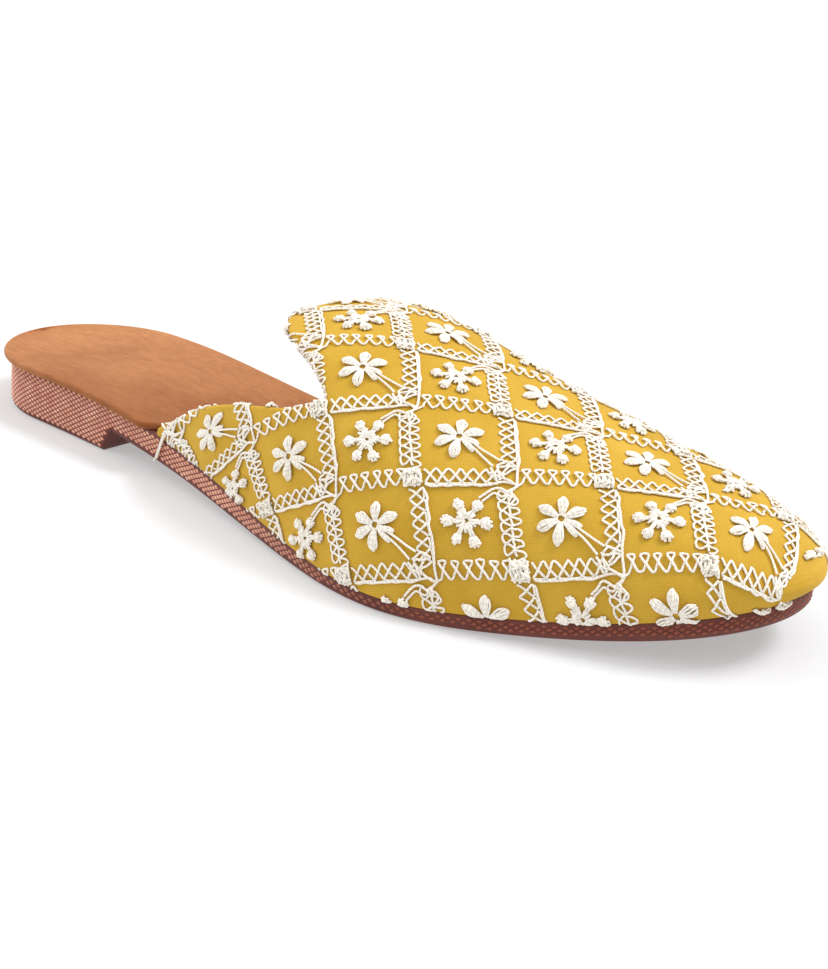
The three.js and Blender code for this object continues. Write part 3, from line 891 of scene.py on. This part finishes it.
def rays(starts, ends, height, arch, points=5):
    """Straight stitches from starts to ends in mm, which rise over their middles by a half sine."""
    t = np.linspace(0, 1, points)[:, None]
    starts, ends = np.asarray(starts, float)[:, None], np.asarray(ends, float)[:, None]
    lift = height + arch * np.sin(np.pi * t) + 0 * starts[..., :1]
    return np.concatenate([starts * (1 - t) + ends * t, lift], -1)


def polar(angle, radius):
    """Places in mm round a centre: angles in degrees from the row, turning towards the square's top."""
    angle = np.radians(angle)
    return np.stack([np.cos(angle) * radius, np.sin(angle) * radius], -1)


# %% [markdown]
# ### Lace bands
# Each daisy's square has four bands of its own. Above it runs a row of stitches closed at the top like
# small funnels; at its left, a chain of loops on a spine; and below it and at its right, crosses with a
# firm border on the outer side. All the crosses are one zigzag path, whose turns are blunt on one side
# and sharp on the other: long blunt turns overlap and make the rail that the crosses stand on.

# %% Bands
def zigzag(start, end, count, blunt, sharp, half_bar, half_turn, crossing=0.5):
    """A path of crosses along a band, from start to end in squares. Its turns lie at blunt and at sharp, in
    mm across, with bars of half_bar and half_turn of a cross to either side. Legs meet at crossing, a share
    of the way to the blunt side, where the second rides over the first. lift is mm off the cloth."""
    side = np.array([0, 0.25, 0.75, 1, 1, 0.75, 0.25, 0])
    lift = np.array([0.25, 0.27, 0.3, 0.36, 0.42, 0.66, 0.6, 0.3])
    forward = np.interp(side, [0, crossing, 1], [half_turn, 0.5, 0.5 + half_bar])
    one = np.stack([np.where(np.arange(8) < 4, forward, 1 - forward), side, lift], -1)
    path = (np.arange(count)[:, None, None] * [1, 0, 0] + one).reshape(-1, 3)
    pitch = (end - start) / count
    return np.stack([start + path[:, 0] * pitch, sharp + (blunt - sharp) * path[:, 1], path[:, 2]], -1)


def across_row(path):
    """A band laid along a square's top: mm across the band, upwards, become rows."""
    return np.stack([path[..., 0], -path[..., 1] / SQUARE, path[..., 2]], -1)


def across_column(path):
    """A band laid down a square's left: mm across the band, to the right, become columns."""
    return np.stack([path[..., 1] / SQUARE, path[..., 0], path[..., 2]], -1)


def level(x, y, height):
    """A strand at one height over the cloth."""
    return np.stack([x, y, height + 0 * x], -1)


funnels = across_row(zigzag(0.13, 0.95, 6, 2.4, -1.6, 0.42, 0.12, crossing=0.6))
lead_in = [[-0.6, -4.0, 0.4], [1.2, -2.9, 0.4], [2.2, -2.2, 0.35], [3.2, -1.5, 0.3]]
sew("lace_funnels", stitches(daisy_cells, [funnels]), stitches(daisy_cells, [lead_in], (0, 0), per=3))

# One strand runs through all the loops: at each place a teardrop to the left, then a triangle to the right
# that stands on the spine, in mm to the right, down and off the cloth.
one_loop = np.array([
    [0.0, 0.0, 0.55], [-0.9, -0.8, 0.4], [-1.8, -1.4, 0.32], [-2.5, -0.9, 0.3], [-2.5, 0.6, 0.3],
    [-1.8, 1.2, 0.32], [-0.9, 0.6, 0.4], [-0.1, 0.0, 0.6], [0.1, 0.3, 0.55], [1.1, 0.45, 0.4],
    [2.1, 0.85, 0.32], [2.1, 1.65, 0.32], [1.1, 2.05, 0.4], [0.05, 2.3, 0.5],
])
loop_places = np.linspace(0.225, 0.785, 6)[:, None, None] * [0, 1, 0]
loops = (loop_places + one_loop * [1 / SQUARE, 1 / SQUARE, 1]).reshape(-1, 3)
spine = level(0.15 * np.cos(np.arange(13) * np.pi), np.linspace(-4.0, -18.6, 13), 0.45)
sew(
    "lace_loops",
    stitches(daisy_cells, [loops], width=0.56, depth=0.48),
    stitches(daisy_cells, [spine], (0, 0), width=0.56, depth=0.5),
)

low_crosses = across_row(zigzag(0.13, 0.91, 6, -1.85, 2.0, 0.6, 0.06)) + [0, 1, 0]
side_crosses = across_column(zigzag(0.12, 0.90, 6, 2.5, -1.15, 0.6, 0.06)) + [1, 0, 0]
low_x = np.append(np.linspace(-18.8, -4.0, 13), [-2.4, -0.8, 0.8, 1.7])
low_y = np.array([-1.8] + [-2.15] * 12 + [-1.6, -1.3, -1.5, -2.0])
side_y = np.append(np.linspace(19.2, 3.0, 14), [0, -1.6, -3.0, -3.8, -4.1])
side_x = np.array([2.4] + [2.95] * 11 + [2.8, 2.6, 2.3, 2.2, 1.4, 0.2, -1.0])
sew(
    "lace_crosses",
    stitches(daisy_cells, [low_crosses, side_crosses]),
    stitches(daisy_cells, [level(low_x, low_y, 0.4)], (1, 1), 0.007, width=0.66, depth=0.58),
    stitches(daisy_cells, [level(side_x, side_y, 0.4)], (1, 1), 0.007, width=0.66, depth=0.58),
)

# %% [markdown]
# ### Daisies
# A daisy has five fat petals and two slim ones, and its stalks run to the square's lower right corner.
# Petals are satin stitch: five strands side by side, spread like a fan and arched over the cloth, each
# starting in the hole that the needle left in the middle.

# %% Daisies
PETALS = [(20, 6.1), (78, 5.5), (146, 5.6), (202, 6.1), (254, 6.4)]  # angle in degrees, length in mm
SLIM_PETALS = [(-26, 4.9), (-54, 5.3)]
DAISY_CENTRE = (0.52, 0.48)


def satin_petal(angle, length, strands, base, spread, arch):
    """Strands fanned about an angle: they stand base mm apart at the middle hole and spread mm apart two
    thirds of the way out. The outer ones stop short, and all rise in the middle and dive at the tip."""
    lane = np.arange(strands) - (strands - 1) / 2
    along = np.array([0.15, 0.3, 0.5, 0.7, 0.88, 1.0])
    width = np.array([0.0, 0.22, 0.65, 1.0, 0.9, 0.3])
    rise = np.array([0.15, 0.55, 0.95, 1.0, 0.7, 0.05])
    reach = length - 0.14 * lane[:, None] ** 2
    forward = along * reach
    sideways = lane[:, None] * (base + (spread - base) * width)
    lift = 0.15 + (arch - 0.16 * np.abs(lane[:, None])) * rise
    turn = np.radians(angle)
    x = forward * np.cos(turn) - sideways * np.sin(turn)
    y = forward * np.sin(turn) + sideways * np.cos(turn)
    return np.stack([x, y, lift + 0 * x], -1)


petals = np.concatenate([satin_petal(*petal, 5, 0.14, 0.54, 0.9) for petal in PETALS])
slim = np.concatenate([satin_petal(*petal, 3, 0.16, 0.46, 0.7) for petal in SLIM_PETALS])
stalks = np.array([
    [[0.9, -0.6, 0.3], [2.6, -1.8, 0.75], [5.2, -3.8, 0.5], [7.2, -5.4, 0.45], [9.1, -6.9, 0.6]],
    [[0.8, -0.9, 0.3], [2.4, -2.6, 0.75], [4.8, -5.2, 0.5], [6.0, -6.8, 0.45], [7.2, -8.6, 0.6]],
])
sew(
    "daisies",
    stitches(daisy_cells, petals, DAISY_CENTRE, 0.003, width=0.6, depth=0.6),
    stitches(daisy_cells, slim, DAISY_CENTRE, 0.003, width=0.62, depth=0.55),
    stitches(daisy_cells, stalks, DAISY_CENTRE, 0.004, per=3, width=0.56, depth=0.5),
)

# %% [markdown]
# ### Sprigs
# The other squares hold a sprig of six arms, each ending in a small knot like a paw, with a star of short
# stitches at its middle. The arm at the upper right goes on as a curly cord to the square's corner.

# %% Sprigs
ARMS = [  # angle in degrees, then the arm's length and its knot's breadth in mm
    (50, 4.7, 2.6), (110, 4.2, 2.5), (178, 4.7, 2.8), (234, 5.0, 2.4), (284, 5.0, 2.9), (352, 4.7, 2.9),
]
SPRIG_CENTRE = (0.53, 0.49)


def sprig_head(angle, radius, breadth):
    """A packed knot at the end of an arm: four plump stitches side by side out of its heel, each ending in
    a bump, and three across them."""
    heel, outwards, aside = polar(angle, radius - 1.3), polar(angle, 1.0), polar(angle + 90, 1.0)
    lane = np.array([-0.5, -0.18, 0.18, 0.5])[:, None] * (breadth - 0.6)
    starts = heel + lane * 0.45 * aside
    ends = heel + lane * aside + np.array([[1.75], [2.45], [2.45], [1.75]]) * outwards
    across = np.array([[0.55], [1.1], [1.65]]) * outwards + heel
    half = np.array([[0.32], [0.42], [0.4]]) * breadth * aside
    return np.concatenate([rays(starts, ends, 0.3, 0.7), rays(across - half, across + half, 0.35, 0.85)])


def sprig_arm(angle, length):
    """Two straight strands side by side, a little closer together at the middle of the sprig."""
    aside = np.array([[0.3], [-0.3]]) * polar(angle + 90, 1.0)
    return rays(polar(angle, 0.7) + aside * 0.6, polar(angle, length - 1.0) + aside, 0.28, 0.45)


arms = np.concatenate([sprig_arm(angle, length) for angle, length, _ in ARMS])
star_angle = np.array([4, 30, 68, 92, 130, 152, 180, 205, 258, 275, 305, 328])
star = rays(polar(star_angle, 0.65), polar(star_angle, 2.5 + 0.3 * np.cos(3 * star_angle)), 0.3, 0.55)
knots = np.concatenate([sprig_head(*arm) for arm in ARMS])
curls = np.array([
    [[-6.6, -5.4, 0.4], [-4.5, -4.0, 0.6], [-3.2, -2.9, 0.5], [-1.8, -3.0, 0.5], [-0.9, -3.9, 0.7],
     [0.2, -4.4, 0.5], [1.1, -4.3, 0.45], [1.8, -5.5, 0.45], [1.0, -6.4, 0.5], [0.1, -7.2, 0.5]],
    [[-6.3, -6.3, 0.4], [-4.5, -5.0, 0.4], [-3.2, -4.0, 0.4], [-2.2, -4.7, 0.45], [-1.1, -5.1, 0.45],
     [-0.4, -4.2, 0.5], [0.3, -3.6, 0.7], [1.0, -4.2, 0.75], [0.5, -5.3, 0.75], [-0.2, -6.2, 0.5]],
])
sew(
    "sprigs",
    stitches(sprig_cells, arms, SPRIG_CENTRE, 0.004),
    stitches(sprig_cells, star, SPRIG_CENTRE, width=0.7, depth=0.6),
    stitches(sprig_cells, knots, SPRIG_CENTRE, 0.005, width=0.72, depth=0.62),
    stitches(sprig_cells, curls, (1, 0), per=3, width=0.6, depth=0.52),
)

# %% [markdown]
# ### Corners
# Where bands meet, every second corner is a dense pad, worked one way and then the other, and the rest are
# fans: loose rays that gather the stalks, the crosses and the border.

# %% Pads and fans
rightwards, upwards = np.eye(2)
lane = np.linspace(-1.8, 1.9, 6)[:, None]
pads = np.concatenate([
    rays(lane * upwards - 2.0 * rightwards, lane * upwards + 1.9 * rightwards, 0.3, 0.35),
    rays(lane * rightwards - 2.1 * upwards, lane * rightwards + 2.2 * upwards, 0.4, 0.6),
    rays([[-1.9, 0.1], [-1.4, 1.9], [0.1, 1.9], [0.2, -0.1], [-1.7, -1.9], [-0.3, -1.8]],
         [[-0.1, 1.8], [0.2, 0.3], [1.9, 0.4], [1.9, -1.6], [-0.1, -0.4], [1.8, -0.7]], 0.6, 0.8),
])
fan = rays(
    [[-2.3, 2.7], [-2.3, 2.9], [-0.2, 4.4], [-1.0, 0.4], [-1.0, -0.2],
     [-2.2, 2.6], [-2.2, 2.0], [-3.6, 2.2], [-3.9, 1.0], [-1.1, 0.9]],
    [[1.9, 2.7], [-0.2, 4.5], [2.1, 3.0], [2.0, 2.2], [1.6, -2.2],
     [-1.7, -1.2], [-0.6, -0.8], [-2.5, -1.2], [-1.2, -0.6], [0.9, 3.4]],
    0.45, 0.25,
)
hang = np.array([  # how a loose end falls from the outer wing: along the shoe, out from the wall, up
    [[93.0, -0.3, 18.0], [90.5, 0.5, 16.0], [88.5, 0.7, 13.5],
     [87.3, 0.8, 10.5], [86.2, 0.8, 7.5], [85.0, 0.9, 5.0]],
    [[92.0, -0.3, 17.2], [90.8, 0.5, 15.4], [88.9, 0.7, 13.0],
     [87.8, 0.8, 10.5], [86.9, 0.9, 8.0], [86.2, 0.9, 6.2]],
])
hang[..., 1] = edge_y(hang[..., 0], OUTER) - hang[..., 1]
sew(
    "corner_pads_and_fans",
    stitches(sprig_cells, pads, (0, 0), 0.011, width=0.64, depth=0.55),
    stitches(daisy_cells, fan, (0, 0)),
    (smooth_path(hang, 4), {"width": 0.55, "loose": True}),
)

# %% [markdown]
# ## Floor and light
# A product is lit so that its own form makes the shading. One broad sun, high over the toe and the inner
# side, stands for a shop's window. A sky that is bright overhead and dim lower down fills the shadows, over
# a white band that stands for a far pale wall, and the floor glows a little, as a lit white table does.
# Area lamps would do too, but a sun and a sky light the whole floor evenly, out to where it leaves the view.

# %% Floor, lights and sky
FLOOR = Finish("pale_floor", Roughness=0.9, Specular_IOR_Level=0.1,
               Emission_Color=srgb(255, 255, 255), Emission_Strength=0.4)
mottle = FLOOR.noise(3, 2)
FLOOR.colour(FLOOR.ramp(mottle, (0.3, 176, 176, 177), (0.7, 182, 182, 183)))
FAR = 60  # metres to the floor's edge, so that none of it shows
UNDER = -0.0001  # a tenth of a millimetre under the sole, so that the two never share a plane
floor_mesh = bpy.data.meshes.new("floor")
corners = [(-FAR, -FAR, UNDER), (FAR, -FAR, UNDER), (FAR, FAR, UNDER), (-FAR, FAR, UNDER)]
floor_mesh.from_pydata(corners, [], [(0, 1, 2, 3)])
floor_mesh.materials.append(FLOOR.material)
floor = bpy.data.objects.new("floor", floor_mesh)
bpy.context.scene.collection.objects.link(floor)


def sun(name, towards, strength, softness):
    """A sun whose local Z axis runs back to where its light comes from; softness is the angle it fills."""
    data = bpy.data.lights.new(name, "SUN")
    data.energy, data.angle = strength, math.radians(softness)
    piece = bpy.data.objects.new(name, data)
    back = unit(np.array(towards, float))
    side = unit(np.cross([0, 0, 1], back))
    place_by_axes(piece, side, np.cross(back, side), back)


sun("key", (0.45, 0.55, 1.1), 2.2, 24)
sun("fill", (-1.2, -0.5, 0.5), 1.1, 60)

SKY = [(0.0, 1.0), (0.16, 1.0), (0.3, 0.25), (1.0, 1.3)]  # brightness by the sine of the height
sky = bpy.data.worlds.new("studio")
sky.use_nodes = True
nodes, links = sky.node_tree.nodes, sky.node_tree.links
heights = nodes.new("ShaderNodeSeparateXYZ")
links.new(nodes.new("ShaderNodeTexCoord").outputs["Generated"], heights.inputs[0])
bands = nodes.new("ShaderNodeValToRGB")
set_bands(bands.color_ramp, [(height, (light, light, light, 1)) for height, light in SKY])
links.new(heights.outputs["Z"], bands.inputs["Fac"])
links.new(bands.outputs["Color"], nodes["Background"].inputs["Color"])
bpy.context.scene.world = sky
bpy.context.scene.view_settings.view_transform = "Standard"
